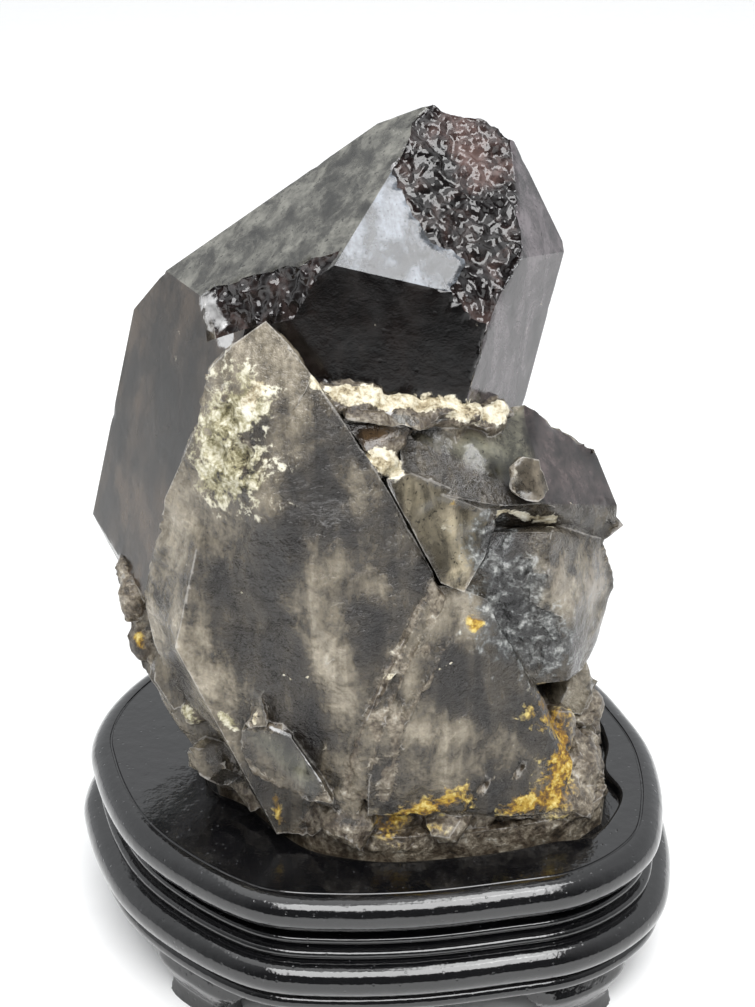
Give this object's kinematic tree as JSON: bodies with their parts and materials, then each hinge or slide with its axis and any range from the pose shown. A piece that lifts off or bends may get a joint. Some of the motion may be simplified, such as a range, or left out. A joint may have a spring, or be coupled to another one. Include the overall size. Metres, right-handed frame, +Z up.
{
  "type": "quartz crystal cluster on a wooden stand",
  "caption": "Weathered smoky quartz crystals grown together on one root, resting in the carved hollow of a moulded black lacquered wooden stand with small feet.",
  "frame": {"origin": "on the floor under the middle of the stand", "axes": "+Z up, -Y towards the viewer's side, where the etched point face and the milky crystal show, +X to the viewer's right"},
  "size_m": [0.1431, 0.1219, 0.1984],
  "materials": {
    "quartz": "glassy smoky quartz with etched, milky, frosted and clay-stained areas",
    "lacquer": "black gloss lacquer over carved wood, fine pits and wear along the rounded edges"
  },
  "bodies": {
    "root": {"quartz_cluster": "quartz", "stand_top": "lacquer", "stand_base": "lacquer", "foot_front_left": "lacquer", "foot_front_right": "lacquer", "foot_back_right": "lacquer", "foot_back_left": "lacquer"}
  },
  "joints": []
}
